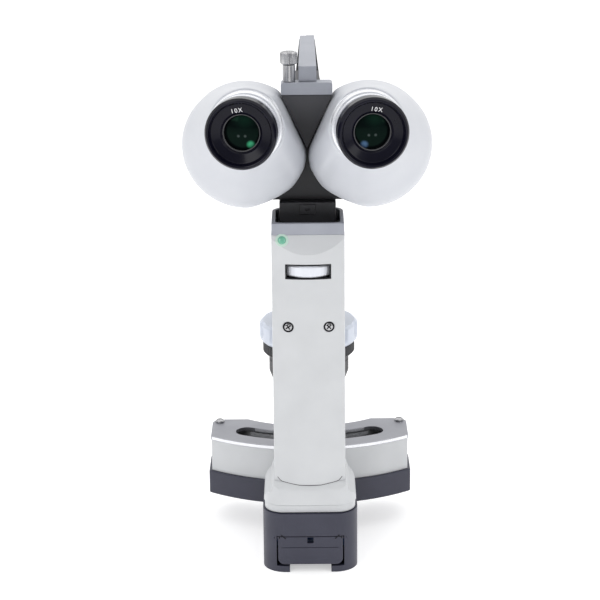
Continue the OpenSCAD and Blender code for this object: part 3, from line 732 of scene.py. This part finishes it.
def column():
    hinge = JOINTS["slit_turn"]
    place = axis_place(hinge["pos_m"], hinge["axis"])
    r, low, high = reach("slit_knob", place)
    lathe("slit_knob_lobed", rounded([
        (14.05, low, 0), (r - 1.5, low, 0.5), (r - 0.1, low + 1.5, 0.6), (r, low + 2.2, 0.2),
        (r, low + 3.3, 0), (r, low + 4.0, 0), (r, low + 5.5, 0), (r, low + 7.2, 0.2), (r, high - 1.4, 0.7),
        (r - 1.4, high, 0.7), (16.5, high, 0.3), (16.0, high - 0.5, 0.2), (14.05, high - 0.5, 0)], 4),
        place, "knob_white", "slit_dial", ("slit_knob",), 360,
        scallops(r, 12, r + 1.6, 3.4, low + 3.0, low + 4.2), 50)
    hinge = JOINTS["filter_turn"]
    place = axis_place(hinge["pos_m"], hinge["axis"])
    r, low, high = reach("filter_ring", place)
    lathe("filter_ring_ribbed", rounded([
        (14.05, low, 0), (r - 0.8, low, 0.3), (r, low + 0.8, 0.2), (r, low + 0.9, 0), (r, high - 0.7, 0),
        (r, high - 0.6, 0.2), (r - 0.6, high, 0.2), (14.05, high, 0)]), place, "black_body",
        "filter_wheel", ("filter_ring",), 432, ribs(72, 0.38, low + 0.85, high - 0.65), 50)
    spot = Vector((hinge["pos_m"][0], hinge["pos_m"][1], 0))
    place = axis_place(spot, (0, 0, 1))
    r, low, high = reach("lamp_housing", place)
    lathe("lamp_housing_turned", rounded([
        (0, low, 0), (12, low, 0.5), (12, low + 17, 2), (13, low + 21, 2), (16, low + 26, 3),
        (18.6, low + 29.5, 3), (r, low + 33, 1.5), (r, high - 3.4, 0.1), (r - 0.3, high - 3.2, 0.1),
        (r - 0.3, high - 2.9, 0.1), (r, high - 2.7, 0.1), (r, high, 0.4), (8, high, 0),
        (8, high - 2.8, 0), (17.4, high - 2.8, 0), (17.4, high - 8.3, 0), (14, high - 14.3, 0),
        (9.6, high - 20.3, 0), (9.6, low + 3, 0), (0, low + 3, 0)]), place, "black_body",
        "illumination", ("lamp_housing",), 128)


# ---------- arc base ----------


def arc_sweep(name, section, half_angle, steps, slot, stands_for=()):
    """A section (r, z), given by step, swept about the swing axis; closed at both ends."""
    spot = JOINTS["arm_swing"]["pos_m"]
    rings = []
    for k in range(steps + 1):
        a = math.radians(half_angle) * (2 * k / steps - 1)
        rings.append([(r * math.sin(a), spot[1] / MM - r * math.cos(a), z) for r, z in section(k)])
    loft(name, rings, slot, "grip", stands_for, False, 30)


def arc_inside():
    """Toothed rack on the far wall of the slot, and a black trough the carriage runs in, which is painted
    shade for the inside of the slot.
    """
    low, high = (c.z / MM for c in map(Vector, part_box("arc_rail")))
    inner, outer = 60.5, 62.8
    far = 77.7

    def rack(k):
        tooth = outer + (0.32 if k % 2 else -0.1)
        return [(inner, low), (outer, low), (outer, high - 2.2), (tooth, high - 1.9), (tooth, high),
                (inner, high)]

    def trough(k):
        lip = outer + 0.08
        return [(lip, high - 2.3), (lip + 0.3, high - 2.3), (lip + 0.3, low + 0.35), (far - 0.4, low + 0.35),
                (far - 0.4, high + 0.5), (far, high + 0.5), (far, low + 0.05), (lip, low + 0.05)]

    def teeth(k):
        tooth = 63.1 + (0.38 if k % 2 else 0.02)
        return [(62.95, 43.9), (tooth, 43.9), (tooth, 45.2), (62.95, 45.2)]

    def edge(k):
        return [(84.0, 43.7), (84.25, 43.6), (84.36, 43.8), (84.36, 45.1), (84.2, 45.45), (83.8, 45.51),
                (83.6, 45.3)]

    arc_sweep("rack_toothed", rack, 29, 150, "bright_metal", ("arc_rail",))
    arc_sweep("slot_teeth", teeth, 26.5, 240, "bright_metal")
    arc_sweep("plate_front_edge", edge, 36.2, 90, "bright_metal")
    # black trough lining the slot: painted shade inside the slot
    arc_sweep("slot_shade_liner", trough, 34, 60, "black_plastic")


# ---------- battery marks ----------


def battery_marks():
    """Small dark strokes beside the upper corners of the latch, two on each side."""
    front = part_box("battery_shell")[0][1] / MM
    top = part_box("latch_tab")[1][2] / MM
    for side, sign in SIDES.items():
        bm = bmesh.new()
        for x, z, length, turn in ((12.9, top + 0.1, 2.9, 40), (14.9, top - 0.2, 1.3, 90)):
            made = bmesh.ops.create_cube(bm, size=1.0)["verts"]
            bow = max(0.0, x - 11.8) ** 2 / 22
            move = Matrix.Translation(Vector((sign * x, front + bow - 0.02, z)) * MM)
            spin = Matrix.Rotation(-sign * math.radians(turn), 4, "Y")
            size = Matrix.Diagonal(Vector((length * MM, 0.2 * MM, 0.55 * MM, 1)))
            bmesh.ops.transform(bm, matrix=move @ spin @ size, verts=made)
        bmesh.ops.bevel(bm, geom=bm.edges[:], offset=0.05 * MM, segments=2, affect="EDGES")
        piece_from(bm, "latch_mark_" + side, "black_plastic", "battery_pack")


make_camera()
make_light()
make_floor()
dress_cad()
# painted light from above: the scope body's black turns lighter grey near its top
paint_light_near(MATERIALS["wedge_black_painted_light"], (0, 0, 0.260), (0.026, 0.052), (0.062, 0.062, 0.070))

for soft_node, soft_width in (
    ("front_panel", 0.35), ("handle_shell", 0.35), ("head_band", 0.3), ("scope_body", 0.4),
    ("neck_block", 0.3), ("top_bar", 0.4), ("rest_arm", 0.5), ("arc_plate", 0.6),
    ("arc_housing", 0.6), ("arc_boot", 0.6), ("battery_shell", 0.5), ("latch_tab", 0.3),
    ("foot_band", 0.5), ("foot_shell", 0.5), ("rest_pad", 1.0),
):
    soften(soft_node, soft_width)
# the scope body gets the black with painted shade and a painted lighter top
bpy.data.objects["scope_body_soft"].data.materials[0] = MATERIALS["wedge_black_painted_light"]
for side_name in SIDES:
    cover(side_name)
    eyepiece(side_name)
brightness_wheel()
panel_screw_heads()
panel_seam()
pilot_light()
thumb_screw()
column()
arc_inside()
battery_marks()
